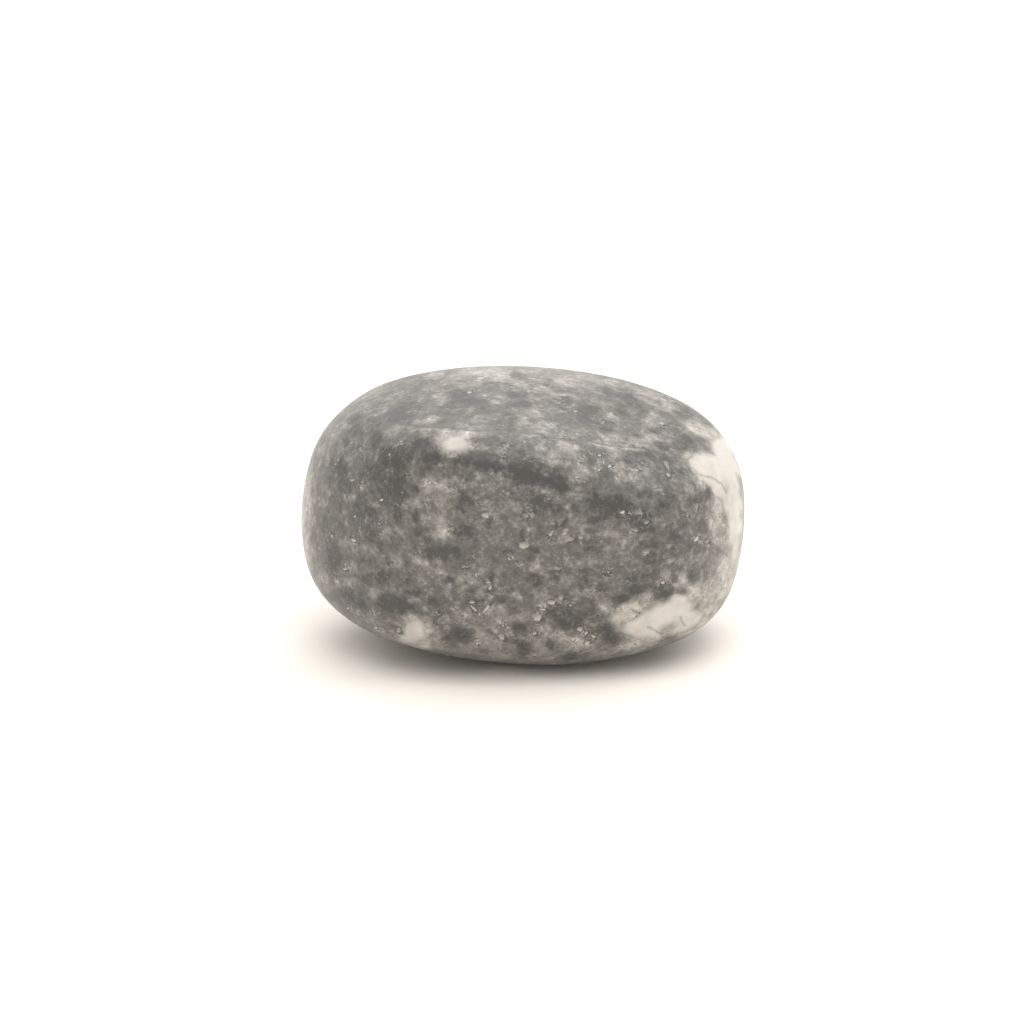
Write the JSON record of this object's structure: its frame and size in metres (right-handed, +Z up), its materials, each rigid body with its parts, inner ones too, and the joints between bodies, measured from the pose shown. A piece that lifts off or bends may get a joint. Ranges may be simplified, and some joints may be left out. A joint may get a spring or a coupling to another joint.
{
  "type": "tumbled bluestone",
  "caption": "Tumbled pebble of mottled grey bluestone, a rounded block with soft edges, polished all over, lying on its widest side.",
  "frame": {"origin": "middle of the pebble's footprint box, on the surface it rests on", "axes": "+X along the pebble's length, -Y the way its broad front face looks, +Z up"},
  "size_m": [0.0302, 0.0216, 0.0183],
  "materials": {
    "stone": "polished dolerite, mottled warm grey with cream feldspar patches and dark blotches"
  },
  "bodies": {
    "root": {"bluestone": "stone"}
  },
  "joints": []
}
